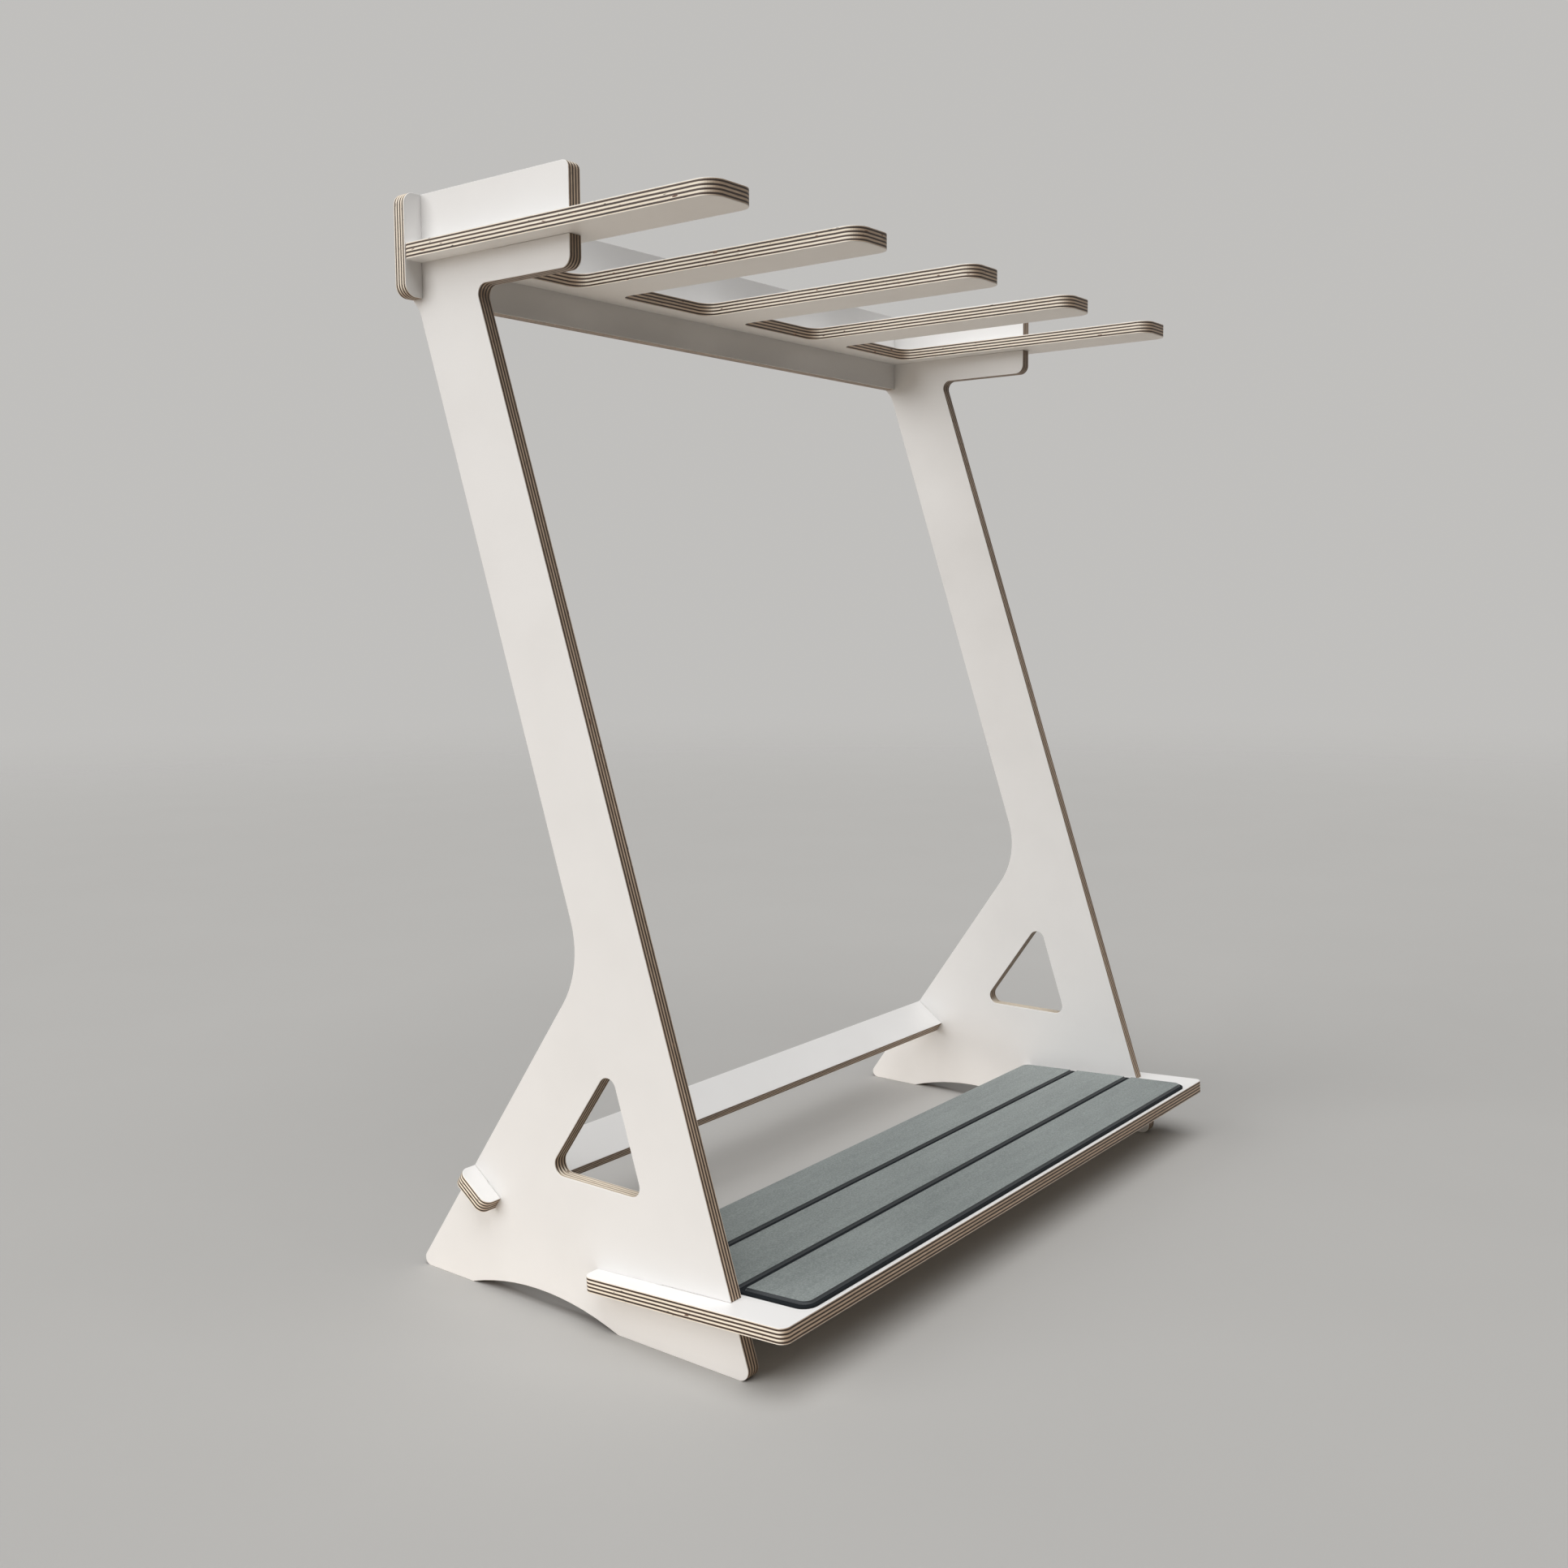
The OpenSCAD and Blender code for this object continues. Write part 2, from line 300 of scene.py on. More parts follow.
def bump(tree, height, strength, distance, below=None):
    """A normal that follows a height, over another bump if there is one."""
    node = add_node(tree, "ShaderNodeBump")
    node.inputs["Strength"].default_value = strength
    node.inputs["Distance"].default_value = distance
    tree.links.new(height, node.inputs["Height"])
    if below:
        tree.links.new(below, node.inputs["Normal"])
    return node.outputs[0]


def new_material(name):
    """A material, its node tree and its shader."""
    material = bpy.data.materials.new(name)
    material.use_nodes = True
    tree = material.node_tree
    return material, tree, tree.nodes["Principled BSDF"]


# %% [markdown]
# ## The sheets: eased edges
#
# A router cuts these parts, and a pass with sandpaper takes the sharpness off every edge. Without
# that, a computer model looks like paper. A Bevel modifier rounds edges, but it needs faces that
# share their corners, and the construction model arrives as loose triangles.
#
# So each sheet gets a copy whose doubled corners are merged and whose flat triangles are joined
# again. Nothing moves by this, and the outline stays the one of the construction model. The copy
# then stands for its node.

# %% A sheet's merged copy
MERGE = 0.01 * MM
FLAT = math.radians(0.2)


def merged_copy(node, name):
    """The node's mesh with its doubles merged and its flat triangles joined, as a new object."""
    piece = bpy.data.objects.new(name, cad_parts[node].data.copy())
    scene.collection.objects.link(piece)
    mesh = bmesh.new()
    mesh.from_mesh(piece.data)
    bmesh.ops.remove_doubles(mesh, verts=mesh.verts, dist=MERGE)
    bmesh.ops.dissolve_limit(mesh, angle_limit=FLAT, verts=mesh.verts, edges=mesh.edges)
    mesh.to_mesh(piece.data)
    mesh.free()
    return piece


# %% [markdown]
# A cut edge gets a different tone for each way that it looks. Edges that look to a side are cream
# with thin dark plies. Those that look forwards, back or down are browner: partly darker end grain,
# partly painted shade. On those that look up the brown plies are pale, which is painted light. So
# each face carries a number for the way it looks, and the plywood's material reads that number
# further on.

# %% A mark for the way that each face looks
GRAIN_AND_SHADING_TONE = "grain_and_painted_shading"
LEAN_FROM, LEAN_TO = 0.35, 0.85


def lean_share(towards):
    """0 while a part of the unit normal is below LEAN_FROM, 1 from LEAN_TO, and even in between."""
    return np.clip((towards - LEAN_FROM) / (LEAN_TO - LEAN_FROM), 0, 1)


def mark_grain_and_painted_shading(mesh):
    """Number on each face: 0 to a side, 1 to the front, the back or down, and -1 upwards."""
    normals = np.empty(len(mesh.polygons) * 3)
    mesh.polygons.foreach_get("normal", normals)
    _, y, z = normals.reshape(-1, 3).T
    # Edges that look forwards, back or down get end grain and painted shade; edges that look up get
    # painted light.
    grain_and_painted_shade = lean_share(np.maximum(np.abs(y), -z))
    painted_light = lean_share(z)
    mark = mesh.attributes.new(GRAIN_AND_SHADING_TONE, "FLOAT", "FACE")
    mark.data.foreach_set("value", (grain_and_painted_shade - painted_light).astype(np.float32))


# %% [markdown]
# The merged copy still has the flat normals of the loose triangles. They are dropped, so that the
# rounds are shaded smoothly, and the Bevel modifier keeps the broad faces flat by itself.

# %% Sheets with eased edges
EASED = 0.5 * MM
CREASE = math.radians(30)
SHEETS = (
    "side_panel_left",
    "side_panel_right",
    "finger_comb",
    "upper_rail",
    "lower_rail",
    "base_shelf",
)


def sheet_piece(node):
    """A sheet's merged copy, its sharp edges eased, in the node's place."""
    piece = merged_copy(node, node + "_sheet")
    piece.data.materials.clear()
    flat_normals = piece.data.attributes.get("custom_normal")
    if flat_normals:
        piece.data.attributes.remove(flat_normals)
    piece.data.shade_smooth()
    mark_grain_and_painted_shading(piece.data)
    easing = piece.modifiers.new("eased_edges", "BEVEL")
    easing.width = EASED
    easing.segments = 2
    easing.limit_method = "ANGLE"
    easing.angle_limit = CREASE
    easing.harden_normals = True
    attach(piece, ROOT)
    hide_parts(node)
    return piece


sheets = {node: sheet_piece(node) for node in SHEETS}
for node, piece in sheets.items():
    print(node, "faces", len(piece.data.polygons), "corners", len(piece.data.vertices))

# %% [markdown]
# ## Faced plywood
#
# A tree trunk is peeled into veneers, and an odd number of them are glued crosswise into plywood.
# Here nine plies alternate between cream and brown. Each face carries a white laminate. One
# material can draw all of it, if it knows how deep in the sheet a point lies. Near either face it
# is laminate, and in between it is a stack of plies that only the edges show.
#
# So the first step measures how each sheet lies: its normal is that of its largest face, and its
# lower face is the least height along that normal. A Mapping node with this turn and place gives
# coordinates whose Z is the depth in the sheet.

# %% How a sheet lies
def sheet_lie(piece):
    """Turn that brings the sheet's normal to +Z, the height of its lower face, and its thickness."""
    mesh = piece.data
    count = len(mesh.polygons)
    normals = np.empty(count * 3)
    areas = np.empty(count)
    mesh.polygons.foreach_get("normal", normals)
    mesh.polygons.foreach_get("area", areas)
    normal = Vector(normals.reshape(-1, 3)[areas.argmax()])
    if max(normal, key=abs) < 0:
        normal = -normal
    turn = normal.rotation_difference(Vector((0, 0, 1))).to_euler()
    corners = np.empty(len(mesh.vertices) * 3)
    mesh.vertices.foreach_get("co", corners)
    depth = corners.reshape(-1, 3) @ np.array(normal)
    return turn, depth.min(), np.ptp(depth)


def sheet_coordinates(tree, piece):
    """Coordinates with the depth as Z, the same with Z at 0, the depth alone, and the thickness."""
    turn, low, thick = sheet_lie(piece)
    lie = add_node(tree, "ShaderNodeMapping")
    tree.links.new(object_place(tree), lie.inputs["Vector"])
    lie.inputs["Rotation"].default_value = turn
    lie.inputs["Location"].default_value = (0, 0, -low)
    local = lie.outputs[0]
    parts = split(tree, local)
    plane = add_node(tree, "ShaderNodeCombineXYZ")
    tree.links.new(parts["X"], plane.inputs["X"])
    tree.links.new(parts["Y"], plane.inputs["Y"])
    return local, plane.outputs[0], parts["Z"], thick


for node, piece in sheets.items():
    turn, low, thick = sheet_lie(piece)
    degrees = [round(math.degrees(angle), 2) for angle in turn]
    print(node, "turned", degrees, "thickness", round(thick / MM, 2), "mm")

# %% [markdown]
# The plies come from one cosine along the depth. Its peaks are the brown plies, and a cut through
# the cosine sets how thick they are. A little noise bends the glue lines, since veneers are never
# quite even, and a slow noise moves the cut, so that a brown ply is thin here and thick there.
#
# Depths are shares of the thickness. The two outer brown plies lie equally deep under their faces,
# and the others divide the space between them evenly.

# %% Brown plies
BROWN_PLIES = 4
FIRST_BROWN = 0.141
PLY_PITCH = (1 - 2 * FIRST_BROWN) / (BROWN_PLIES - 1)
GLUE_WANDER = 0.012
GLUE_CELLS = (35, 35, 35)
GLUE_BLUR = 0.15
THIN_CUT, THICK_CUT = 0.30, -0.19
THICKNESS_CELLS = (4, 4, 330)


def brown_mask(tree, depth_share, local, plane):
    """1 in the brown plies: where the cosine along the depth is above a cut that varies slowly."""
    wander = span(tree, noise(tree, plane, GLUE_CELLS, detail=3), -GLUE_WANDER, GLUE_WANDER)
    bent = calculate(tree, "ADD", depth_share, wander)
    phase = calculate(tree, "SUBTRACT", bent, FIRST_BROWN)
    wave = calculate(tree, "COSINE", calculate(tree, "MULTIPLY", phase, 2 * math.pi / PLY_PITCH))
    cut = span(tree, noise(tree, local, THICKNESS_CELLS, detail=1), THIN_CUT, THICK_CUT)
    return smooth_step(tree, calculate(tree, "SUBTRACT", wave, cut), -GLUE_BLUR, GLUE_BLUR)


peaks = [round(FIRST_BROWN + k * PLY_PITCH, 3) for k in range(BROWN_PLIES)]
print("brown plies at these shares of the thickness:", peaks)

# %% [markdown]
# Stretched noises draw what the cutter shows of the wood: streaks of cut fibres, and a tone of its
# own for each ply. Here and there lies a reddish patch where a hole in the veneer was filled, or a
# small gap that glue has left dark.
#
# Every tone is a pair of colours, for the lighter and the darker fibres, and the mark on the face
# chooses between the tones. The front tones are darker end grain with painted shade on it, and the
# top tone is painted light.

# %% Colours of the plies
SIDE_CREAM = (0.940, 0.860, 0.740, 1), (0.820, 0.715, 0.570, 1)
SIDE_BROWN = (0.064, 0.032, 0.017, 1), (0.022, 0.012, 0.007, 1)
# Front tones: end grain plus painted shade. Top tone: painted light on the brown plies.
FRONT_CREAM_GRAIN_AND_SHADE = (0.560, 0.425, 0.310, 1), (0.345, 0.252, 0.176, 1)
FRONT_BROWN_GRAIN_AND_SHADE = (0.040, 0.021, 0.012, 1), (0.016, 0.009, 0.005, 1)
TOP_BROWN_PAINTED_LIGHT = (0.480, 0.385, 0.285, 1), (0.330, 0.250, 0.175, 1)
TONE_CELLS = (5, 5, 260)
TONE_SHARE = 0.45
SHADE_RANGE = (0.36, 0.68)
FILLER = (0.170, 0.085, 0.048, 1)
FILLER_CELLS = (70, 70, 330)
FILLER_RANGE = (0.74, 0.77)
GLUE_GAP = (0.020, 0.013, 0.009, 1)
GAP_CELLS = (90, 90, 900)
GAP_RANGE = (0.74, 0.78)


def ply_colour(tree, local, brown, fibres):
    """Cream and brown plies in the tones of their edge, with painted shade on edges that look
    forwards, back or down, painted light on those that look up, filled patches and dark gaps.
    """
    tone = noise(tree, local, TONE_CELLS, detail=1)
    shade = smooth_step(tree, mix_values(tree, TONE_SHARE, fibres, tone), *SHADE_RANGE)
    looks = add_node(tree, "ShaderNodeAttribute", attribute_name=GRAIN_AND_SHADING_TONE).outputs["Fac"]
    # front is end grain with painted shade, upward is painted light.
    front = calculate(tree, "MAXIMUM", looks, 0)
    upward = calculate(tree, "MAXIMUM", calculate(tree, "MULTIPLY", looks, -1), 0)
    cream = blend(tree, front, blend(tree, shade, *SIDE_CREAM), blend(tree, shade, *FRONT_CREAM_GRAIN_AND_SHADE))
    dark = blend(tree, front, blend(tree, shade, *SIDE_BROWN), blend(tree, shade, *FRONT_BROWN_GRAIN_AND_SHADE))
    dark = blend(tree, upward, dark, blend(tree, shade, *TOP_BROWN_PAINTED_LIGHT))
    colour = blend(tree, brown, cream, dark)
    filled = smooth_step(tree, noise(tree, local, FILLER_CELLS, detail=1), *FILLER_RANGE)
    colour = blend(tree, filled, colour, FILLER)
    gaps = smooth_step(tree, noise(tree, local, GAP_CELLS, detail=1), *GAP_RANGE)
    return blend(tree, gaps, colour, GLUE_GAP)


# %% [markdown]
# The laminate is a pressed sheet of resin and paper: white with the faintest clouds, satin, and
# pebbled so finely that it shows only in the soft rim of its highlights. The plies are rougher, and
# the brown ones stand a little lower than the cream ones, as softer wood does after sanding.

# %% Finish of a sheet
LAMINATE = (0.800, 0.790, 0.778, 1), (0.775, 0.764, 0.751, 1)
LAMINATE_T = 0.45 * MM
LAMINATE_BLUR = 0.04 * MM
LAMINATE_ROUGHNESS = (0.36, 0.48)
SATIN_CELLS = (40, 40, 40)
CLOUD_CELLS = (9, 9, 9)
CLOUD_RANGE = (0.35, 0.75)
PEBBLE_CELLS = (900, 900, 900)
PEBBLE_BUMP = (0.06, 0.05 * MM)
FIBRE_CELLS = (90, 90, 1400)
PLY_ROUGHNESS = (0.42, 0.62)
PLY_BUMP = (0.35, 0.10 * MM)
BROWN_SINKS = 0.4


def laminate_colour(tree, local):
    """White laminate, very slightly clouded."""
    clouds = noise(tree, local, CLOUD_CELLS, detail=3)
    return blend(tree, smooth_step(tree, clouds, *CLOUD_RANGE), *LAMINATE)


def faced_plywood(node, piece):
    """The finish of one sheet: laminate near either face and plies between them."""
    material, tree, shader = new_material("faced_plywood_" + node)
    local, plane, depth, thick = sheet_coordinates(tree, piece)
    brown = brown_mask(tree, calculate(tree, "DIVIDE", depth, thick), local, plane)
    fibres = noise(tree, local, FIBRE_CELLS, detail=3, roughness=0.6)
    off_middle = calculate(tree, "ABSOLUTE", calculate(tree, "SUBTRACT", depth, thick / 2))
    under_laminate = thick / 2 - LAMINATE_T
    faced = smooth_step(tree, off_middle, under_laminate - LAMINATE_BLUR, under_laminate)
    colour = blend(tree, faced, ply_colour(tree, local, brown, fibres), laminate_colour(tree, local))
    tree.links.new(colour, shader.inputs["Base Color"])

    satin = span(tree, noise(tree, local, SATIN_CELLS, detail=3), *LAMINATE_ROUGHNESS)
    sanded = span(tree, fibres, *PLY_ROUGHNESS)
    tree.links.new(mix_values(tree, faced, sanded, satin), shader.inputs["Roughness"])

    pebbled = bump(tree, noise(tree, local, PEBBLE_CELLS, detail=2), *PEBBLE_BUMP)
    grooved = calculate(tree, "MULTIPLY_ADD", brown, -BROWN_SINKS, fibres)
    relief = calculate(tree, "MULTIPLY", grooved, calculate(tree, "SUBTRACT", 1, faced))
    tree.links.new(bump(tree, relief, *PLY_BUMP, pebbled), shader.inputs["Normal"])
    return material


for node, piece in sheets.items():
    piece.data.materials.append(faced_plywood(node, piece))
    print(piece.name, "is finished with", piece.data.materials[0].name)

# %% [markdown]
# ## The foam pad
#
# The pad is closed-cell foam of the kind that covers boat decks: a near-black sheet glued to the
# shelf, and three grey-green strips on it, brushed along their length. A cutter has run round each
# strip with a hollow bit, so its edge sweeps up from a thin foot to a sharp upper arris.
#
# Both kinds of part are one surface: a ring round a rounded rectangle, drawn in by an inset and
# lifted by a height, for each point of a profile. Insets run on until the ring has shrunk to the
# line along the middle of the strip, which closes the top without any special case.

# %% A ring round a rounded rectangle
ALONG_STEPS = 120
ACROSS_STEPS = 16
BEND_POINTS = 8


def ring_points(width, front, rear, front_r, rear_r, inset):
    """Points of a rounded rectangle drawn in by an inset, anticlockwise from its front left corner.

    A corner's arc has its radius less the inset, about a centre that lies the larger of the two in
    from both sides. Once the radius is used up the corner is a point. Each side is divided evenly
    between the arcs' ends, so rings of any inset have the same number of points.
    """
    half = width / 2
    radii = (front_r, front_r, rear_r, rear_r)
    signs = ((-1, -1), (1, -1), (1, 1), (-1, 1))
    quarter = np.linspace(0, math.pi / 2, BEND_POINTS)
    arcs = []
    for k, (radius, (side, end)) in enumerate(zip(radii, signs)):
        lie_in = max(radius, inset)
        left_over = max(radius - inset, 0)
        edge = rear if end > 0 else front
        centre = np.array([side * (half - lie_in), edge - end * lie_in])
        angle = math.pi + k * math.pi / 2 + quarter
        arcs.append(centre + left_over * np.stack([np.cos(angle), np.sin(angle)], 1))
    rows = []
    for k, arc in enumerate(arcs):
        following = arcs[(k + 1) % 4]
        steps = ALONG_STEPS if k % 2 == 0 else ACROSS_STEPS
        t = (np.arange(1, steps) / steps)[:, None]
        rows.append(arc)
        rows.append(arc[-1] * (1 - t) + following[0] * t)
    return np.concatenate(rows)


# %% [markdown]
# Rings one above the other make a net of four-sided faces, in which the last point of a ring joins
# the first. Foam is never dead flat, so a strip's top gets a wave that is too low to see as a shape
# but enough to let the light run unevenly over it.

# %% A closed surface of rings
WAVE_ALONG, WAVE_ACROSS, WAVE_SLANT = 37, 61, 9


def slow_wave(x, y):
    """From -1 to 1: a sine along the strip times a cosine across it, in radians to the metre."""
    return np.sin(x * WAVE_ALONG) * np.cos(y * WAVE_ACROSS + x * WAVE_SLANT)


def foam_mesh(name, outline, profile, lift, soft):
    """A ring for each (inset, height, cut) of the profile, all lifted together, and their faces.

    The outline is the width, the front and rear edge and their corners' radii. The shelf's own
    plane is X and Y here, and Z is the height over it. The top sinks by 0 to twice the soft value,
    as the wave has it. The cut values, 1 where the cutter has been, go with the points as an
    attribute.
    """
    points = np.stack([ring_points(*outline, inset) for inset, _, _ in profile])
    heights = np.array([height for _, height, _ in profile])
    cut_values = np.array([cut for _, _, cut in profile])
    count = points.shape[1]
    x, y = points[..., 0], points[..., 1]
    top = (heights >= heights.max() - MERGE)[:, None]
    z = heights[:, None] + lift + np.where(top, slow_wave(x, y) * soft - soft, 0)
    grid = np.stack([x, y, z], -1).reshape(-1, 3)
    ring, step = np.meshgrid(np.arange(len(profile) - 1), np.arange(count), indexing="ij")
    following = (step + 1) % count
    quads = np.stack([
        ring * count + step,
        ring * count + following,
        (ring + 1) * count + following,
        (ring + 1) * count + step,
    ], -1).reshape(-1, 4)
    mesh = bpy.data.meshes.new(name)
    mesh.from_pydata(grid, [], quads)
    mark = mesh.attributes.new("cut", "FLOAT", "POINT")
    mark.data.foreach_set("value", np.repeat(cut_values, count).astype(np.float32))
    return mesh


# %% [markdown]
# The rings are worked out over a level shelf and then laid on the real one by the turn and height
# that its node has. Merging doubles closes the line where the top ends, and the same on the
# underside.

# %% Lay a foam piece on the shelf
shelf_turn, shelf_low, shelf_thick = sheet_lie(sheets["base_shelf"])


def on_shelf(mesh):
    """Merges doubles and moves the mesh from a level plane onto the shelf's upper face."""
    tidy = bmesh.new()
    tidy.from_mesh(mesh)
    bmesh.ops.remove_doubles(tidy, verts=tidy.verts, dist=MERGE)
    bmesh.ops.recalc_face_normals(tidy, faces=tidy.faces)
    tidy.to_mesh(mesh)
    tidy.free()
    back = shelf_turn.to_matrix().to_4x4().inverted()
    mesh.transform(back @ Matrix.Translation((0, 0, shelf_low + shelf_thick)))
    mesh.shade_smooth()


def level_box(node):
    """A foam node's box in the shelf's own plane: lowest and highest corner."""
    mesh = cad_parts[node].data
    corners = np.empty(len(mesh.vertices) * 3)
    mesh.vertices.foreach_get("co", corners)
    turned = corners.reshape(-1, 3) @ np.array(shelf_turn.to_matrix()).T
    turned[:, 2] -= shelf_low + shelf_thick
    return turned.min(0), turned.max(0)


for node in ("pad_backing", "pad_strip_front", "pad_strip_middle", "pad_strip_rear"):
    low, high = level_box(node)
    print(node, "from", (low / MM).round(2), "to", (high / MM).round(2), "mm over the shelf")

# %% [markdown]
# Each profile starts at the middle of the underside, runs out and up the side, and comes back in
# over the top. Its rows hold the inset from the outline, the height, and 1 where a cutter has been.
# The rings on the top lie at shares of the way to the middle line.
#
# The backing is a slab with a barely rounded edge.

# %% Profile of the backing
BACKING_ROUND = 0.4 * MM
ROUND_POINTS = 4
BACKING_TOP_RINGS = (0.1, 0.35, 0.7, 1)


def backing_profile(depth, height):
    """Under the slab from the middle line, up its side, over a quarter round and in to the middle."""
    middle = depth / 2
    rows = [(middle, 0, 0), (middle / 2, 0, 0), (0, 0, 0)]
    rows += [
        (BACKING_ROUND * (1 - math.cos(a)), height - BACKING_ROUND * (1 - math.sin(a)), 0)
        for a in np.linspace(0, math.pi / 2, ROUND_POINTS)
    ]
    return rows + [(middle * share, height, 0) for share in BACKING_TOP_RINGS]


print("the backing's upper edge is rounded by %.1f mm" % (BACKING_ROUND / MM))

# %% [markdown]
# A strip stands on a thin foot. From there the bit has left a hollow that starts flat and ends
# steep, right under the arris.

# %% Profile of a strip
FOOT_H = 0.5 * MM
BEVEL = 1.8 * MM
HOLLOW = 0.65
HOLLOW_STEPS = 7
ARRIS = 0.2 * MM
ARRIS_ROUND = 0.3
STRIP_TOP_RINGS = (0.08, 0.25, 0.5, 0.75, 1)


def strip_profile(depth, height):
    """A thin foot, a hollow sweep up to the arris, a small round there and the brushed top.

    The sweep mixes a quarter of an ellipse, which starts level at the foot and ends upright under
    the arris, with a straight bevel. HOLLOW is the ellipse's share.
    """
    middle = depth / 2
    rise = height - FOOT_H - ARRIS
    rows = [(middle, 0, 1), (middle / 2, 0, 1), (0, 0, 1)]
    for t in np.linspace(0, 1, HOLLOW_STEPS):
        inward = HOLLOW * math.sin(t * math.pi / 2) + (1 - HOLLOW) * t
        upward = HOLLOW * (1 - math.cos(t * math.pi / 2)) + (1 - HOLLOW) * t
        rows.append((inward * BEVEL, FOOT_H + upward * rise, 1))
    rows.append((BEVEL + ARRIS_ROUND * ARRIS, height - ARRIS_ROUND * ARRIS, 1))
    top_from = BEVEL + ARRIS
    rows.append((top_from, height, 0))
    return rows + [(top_from + (middle - top_from) * share, height, 0) for share in STRIP_TOP_RINGS]


print("a strip's foot is %.1f mm high and its bevel %.1f mm wide" % (FOOT_H / MM, BEVEL / MM))

# %% [markdown]
# Each foam part takes its size and place from the box of its own node. The first and the last
# strip have large outer corners, like the backing under them, and all corners beside a groove are
# small.

# %% Make the pad
BACKING_R = 15 * MM
STRIP_R = 11 * MM
GROOVE_R = 2.5 * MM
SURFACE_WAVE = 0.05 * MM


def foam_piece(node, name, front_r, rear_r, profile_of, soft=0.0):
    """A foam part in its node's place, from its own box."""
    low, high = level_box(node)
    outline = (high[0] - low[0], low[1], high[1], front_r, rear_r)
    profile = profile_of(high[1] - low[1], high[2] - low[2])
    mesh = foam_mesh(name, outline, profile, low[2], soft)
    on_shelf(mesh)
    piece = bpy.data.objects.new(name, mesh)
    scene.collection.objects.link(piece)
    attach(piece, ROOT)
    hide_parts(node)
    return piece


def foam_strip(place, front_r, rear_r):
    """One of the brushed strips, named for its place on the shelf."""
    node = "pad_strip_" + place
    strip = foam_piece(node, "foam_strip_" + place, front_r, rear_r, strip_profile, SURFACE_WAVE)
    return strip


backing = foam_piece("pad_backing", "foam_backing", BACKING_R, BACKING_R, backing_profile)
strips = [
    foam_strip("front", STRIP_R, GROOVE_R),
    foam_strip("middle", GROOVE_R, GROOVE_R),
    foam_strip("rear", GROOVE_R, STRIP_R),
]
for piece in [backing] + strips:
    print(piece.name, "faces", len(piece.data.polygons))

# %% [markdown]
# ## Foam finishes
#
# Brushing tears the skin of the foam into a short nap: fine light and dark flecks over soft streaks
# along the strip, with a little sheen where the nap catches the light from the side. The hollow edge
# is what the cutter left, smoother and bluer, and its colour is darkened far below the top's by
# painted shade, so that the grooves read near-black.

# %% Brushed foam
NAP_LIGHT = (0.245, 0.274, 0.265, 1)
NAP_DARK = (0.118, 0.139, 0.135, 1)
NAP_RANGE = (0.35, 0.66)
# The cut foam's own bluer tone, darkened further by painted shade in the grooves.
CUT_FOAM_AND_SHADE = (0.024, 0.029, 0.033, 1)
CUT_DARK_AND_SHADE = (0.012, 0.015, 0.017, 1)
FLECK_CELLS = (420, 520, 520)
FLECK_SHARE = 0.70
STREAK_CELLS = (14, 110, 110)
HAZE_CELLS = (6, 9, 9)
HAZE_SHARE = 0.55
PORE_CELLS = (1500, 1500, 1500)
NAP_BUMP = (0.5, 0.25 * MM)
NAP_ROUGHNESS, CUT_ROUGHNESS = 0.92, 0.62
CUT_RELIEF = 0.2


def brushed_foam():
    """Grey-green brushed foam on the top, and smoother cut foam on the edges, darkened by painted
    shade.
    """
    material, tree, shader = new_material("brushed_foam")
    place = object_place(tree)
    flecks = noise(tree, place, FLECK_CELLS, detail=4, roughness=0.75)
    streaks = noise(tree, place, STREAK_CELLS, detail=3)
    haze = noise(tree, place, HAZE_CELLS, detail=2)
    soft = mix_values(tree, HAZE_SHARE, streaks, haze)
    nap = mix_values(tree, FLECK_SHARE, soft, flecks)
    top = blend(tree, smooth_step(tree, nap, *NAP_RANGE), NAP_DARK, NAP_LIGHT)
    side = blend(tree, noise(tree, place, PORE_CELLS, detail=2), CUT_DARK_AND_SHADE, CUT_FOAM_AND_SHADE)
    cut = add_node(tree, "ShaderNodeAttribute", attribute_name="cut").outputs["Fac"]
    tree.links.new(blend(tree, cut, top, side), shader.inputs["Base Color"])
    tree.links.new(span(tree, cut, NAP_ROUGHNESS, CUT_ROUGHNESS), shader.inputs["Roughness"])
    shader.inputs["Sheen Weight"].default_value = 0.32
    shader.inputs["Sheen Roughness"].default_value = 0.5
    shader.inputs["Specular IOR Level"].default_value = 0.35
    relief = calculate(tree, "MULTIPLY", flecks, span(tree, cut, 1, CUT_RELIEF))
    tree.links.new(bump(tree, relief, *NAP_BUMP), shader.inputs["Normal"])
    return material


brushed = brushed_foam()
for piece in strips:
    piece.data.materials.append(brushed)
    print(piece.name, "is finished with", brushed.name)

# %% [markdown]
# The black backing is plain fine-celled foam. It has next to no sheen, so it reads as a dark line
# round the strips and between them.

# %% Backing foam
BACKING_FOAM = (0.006, 0.008, 0.010, 1)
BACKING_FLECK = (0.013, 0.016, 0.019, 1)
FOAM_CELLS = (1300, 1300, 1300)
FLECK_RANGE = (0.40, 0.75)
FOAM_BUMP = (0.4, 0.12 * MM)
FOAM_ROUGHNESS = (0.70, 0.88)


def backing_foam():
    """Near-black foam with fine cells."""
    material, tree, shader = new_material("backing_foam")
    cells = noise(tree, object_place(tree), FOAM_CELLS, detail=3, roughness=0.6)
    colour = blend(tree, smooth_step(tree, cells, *FLECK_RANGE), BACKING_FOAM, BACKING_FLECK)
    tree.links.new(colour, shader.inputs["Base Color"])
    tree.links.new(span(tree, cells, *FOAM_ROUGHNESS), shader.inputs["Roughness"])
    shader.inputs["Specular IOR Level"].default_value = 0.15
    tree.links.new(bump(tree, cells, *FOAM_BUMP), shader.inputs["Normal"])
    return material


backing.data.materials.append(backing_foam())
print(backing.name, "is finished with", backing.data.materials[0].name)

# %% [markdown]
# ## Floor
#
# The floor is plain and pale. It is a disc that fades out to the backdrop before its rim, so no
# horizon cuts through the picture from any side.

# %% A flat disc
FLOOR_R = 14.0


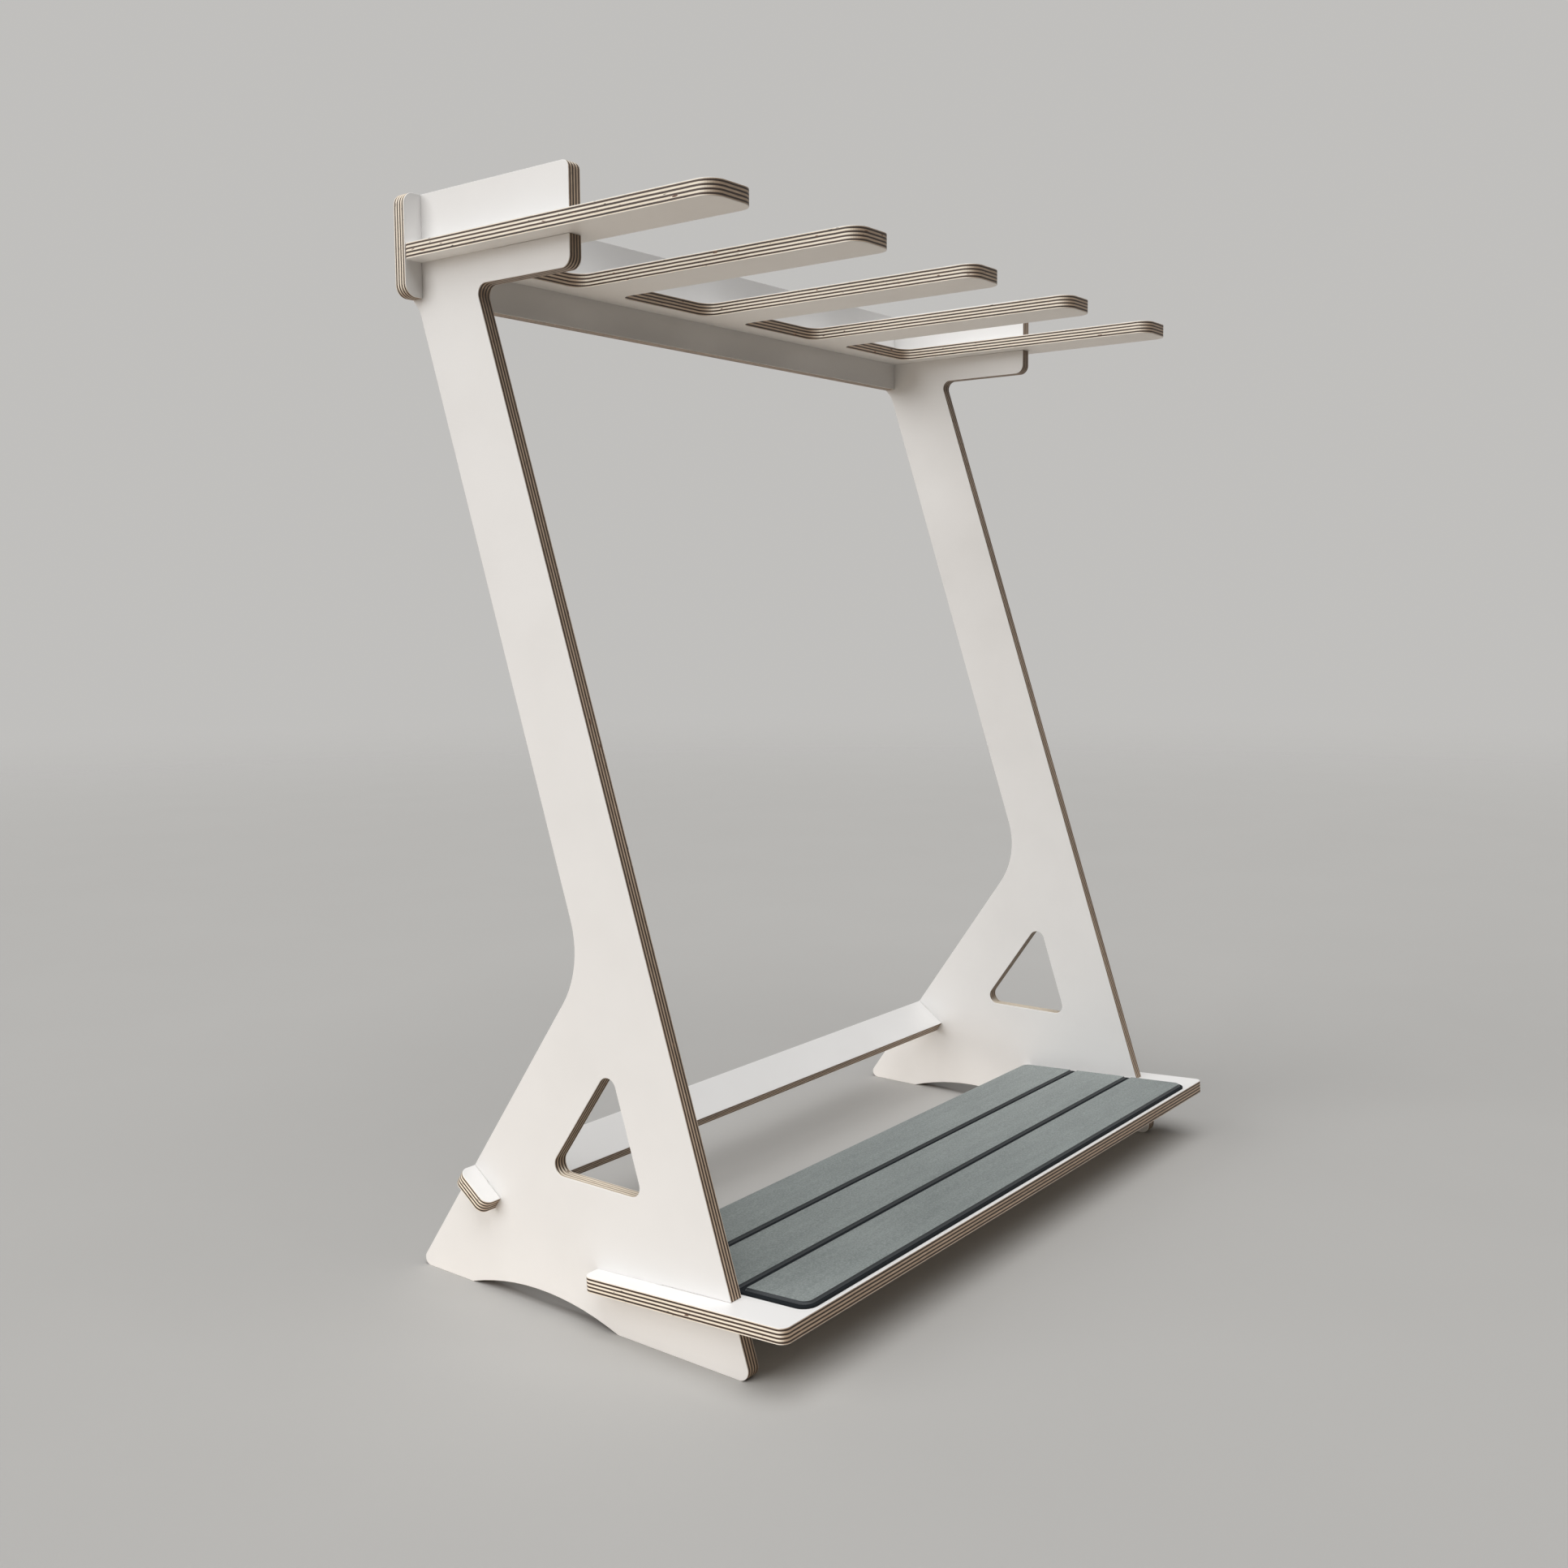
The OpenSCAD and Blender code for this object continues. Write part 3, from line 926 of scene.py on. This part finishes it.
def disc(name, radius, rings=8, steps=64):
    """Rings of evenly growing radius round the origin, closed by a point in the middle."""
    radii = np.linspace(0, radius, rings + 1)[1:]
    turns = np.arange(steps) * 2 * math.pi / steps
    r, turn = np.meshgrid(radii, turns, indexing="ij")
    grid = np.stack([r * np.cos(turn), r * np.sin(turn), 0 * r], -1).reshape(-1, 3)
    points = np.concatenate([[[0, 0, 0]], grid])
    ring, step = np.meshgrid(np.arange(rings - 1), np.arange(steps), indexing="ij")
    following = (step + 1) % steps
    quads = 1 + np.stack([
        ring * steps + step,
        (ring + 1) * steps + step,
        (ring + 1) * steps + following,
        ring * steps + following,
    ], -1).reshape(-1, 4)
    first = np.arange(steps)
    fan = np.stack([0 * first, 1 + first, 1 + (first + 1) % steps], 1)
    mesh = bpy.data.meshes.new(name)
    mesh.from_pydata(points, [], quads.tolist() + fan.tolist())
    return mesh


floor = bpy.data.objects.new("floor", disc("floor", FLOOR_R))
scene.collection.objects.link(floor)
print("floor faces", len(floor.data.polygons))

# %% [markdown]
# The camera sees the floor grey. The colour that it throws back up as light is painted: a little
# warm, and darker in front of the rack than behind it, a painted shade on the floor in front. So the
# undersides are bright, and the upright faces that look forwards stay in shade.

# %% Floor material
FLOOR = (0.430, 0.422, 0.408, 1)
FLOOR_SHADE = (0.415, 0.407, 0.393, 1)
FLOOR_CELLS = (3, 3, 3)
# Bounce colours, seen only by indirect rays: painted light behind the rack, painted shade in front.
FRONT_BOUNCE = (0.080, 0.066, 0.053, 1)
REAR_BOUNCE = (0.740, 0.655, 0.560, 1)
FRONT_Y, REAR_Y = -1.2, 0.2
FADE_FROM, FADE_TO = 3.0, 9.0


def floor_material():
    """Matt pale floor that turns clear towards its rim."""
    material, tree, shader = new_material("studio_floor")
    place = object_place(tree)
    seen = blend(tree, noise(tree, place, FLOOR_CELLS, detail=3), FLOOR, FLOOR_SHADE)
    rearward = smooth_step(tree, split(tree, place)["Y"], FRONT_Y, REAR_Y)
    bounce = blend(tree, rearward, FRONT_BOUNCE, REAR_BOUNCE)
    tree.links.new(blend(tree, shows_backdrop(tree), bounce, seen), shader.inputs["Base Color"])
    shader.inputs["Roughness"].default_value = 0.85
    shader.inputs["Specular IOR Level"].default_value = 0.2
    reach = add_node(tree, "ShaderNodeVectorMath", operation="LENGTH")
    tree.links.new(place, reach.inputs[0])
    rim = smooth_step(tree, reach.outputs["Value"], FADE_FROM, FADE_TO)
    clear = add_node(tree, "ShaderNodeBsdfTransparent")
    mix = add_node(tree, "ShaderNodeMixShader")
    tree.links.new(rim, mix.inputs["Fac"])
    tree.links.new(shader.outputs[0], mix.inputs[1])
    tree.links.new(clear.outputs[0], mix.inputs[2])
    tree.links.new(mix.outputs[0], tree.nodes["Material Output"].inputs["Surface"])
    return material


floor.data.materials.append(floor_material())
print("floor is clear from %.0f m off the rack" % FADE_TO)

# %% [markdown]
# ## Finish
#
# Looks must not change the rack's size. Last, the view layer is brought up to date.

# %% Finish
bpy.context.view_layer.update()
